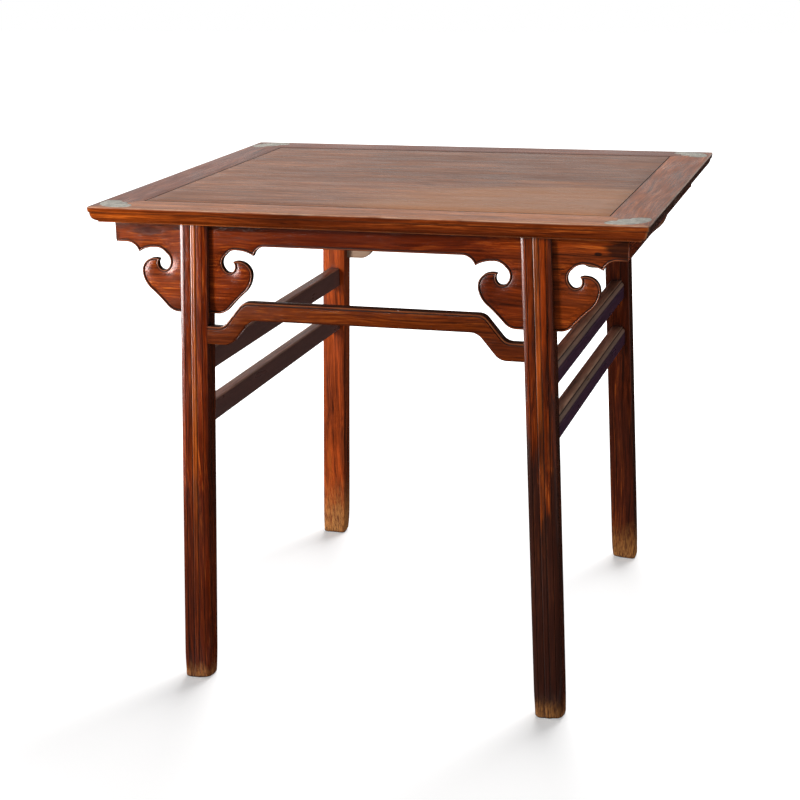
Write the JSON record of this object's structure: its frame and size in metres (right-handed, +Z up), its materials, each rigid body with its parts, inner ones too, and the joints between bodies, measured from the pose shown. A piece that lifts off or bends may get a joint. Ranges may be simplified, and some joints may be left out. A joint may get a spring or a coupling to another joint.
{
  "type": "dining table",
  "caption": "Hardwood dining table with a framed floating-panel top, splayed moulded legs, cloud-head spandrels, humpback stretchers and metal corner inlays.",
  "frame": {"origin": "floor level, under the middle of the top", "axes": "+X along the longer side of the top, towards the right as seen from the front; +Y towards the back; +Z up"},
  "size_m": [0.96, 0.82, 0.86],
  "materials": {
    "top_wood": "waxed, worn and slightly greyed",
    "frame_wood": "waxed, worn at the arrises",
    "leg_wood": "waxed, worn on the mouldings",
    "apron_wood": "waxed, polished on the carving",
    "stretcher_wood": "waxed, worn on the upper faces",
    "hidden_wood": "plain, unfinished underside",
    "inlay_metal": "matt, tarnished to a pale greenish grey"
  },
  "bodies": {
    "root": {"top_frame_front": "frame_wood", "top_frame_back": "frame_wood", "top_frame_left": "frame_wood", "top_frame_right": "frame_wood", "panel_board_front": "top_wood", "panel_board_back": "top_wood", "panel_batten_1": "hidden_wood", "panel_batten_2": "hidden_wood", "panel_batten_3": "hidden_wood", "corner_inlay_front_right": "inlay_metal", "corner_inlay_front_left": "inlay_metal", "corner_inlay_back_right": "inlay_metal", "corner_inlay_back_left": "inlay_metal", "leg_front_right": "leg_wood", "leg_front_left": "leg_wood", "leg_back_right": "leg_wood", "leg_back_left": "leg_wood", "apron_front": "apron_wood", "apron_back": "apron_wood", "apron_left": "apron_wood", "apron_right": "apron_wood", "humpback_stretcher_front": "apron_wood", "humpback_stretcher_back": "apron_wood", "side_stretcher_left_upper": "stretcher_wood", "side_stretcher_left_lower": "stretcher_wood", "side_stretcher_right_upper": "stretcher_wood", "side_stretcher_right_lower": "stretcher_wood"}
  },
  "joints": []
}
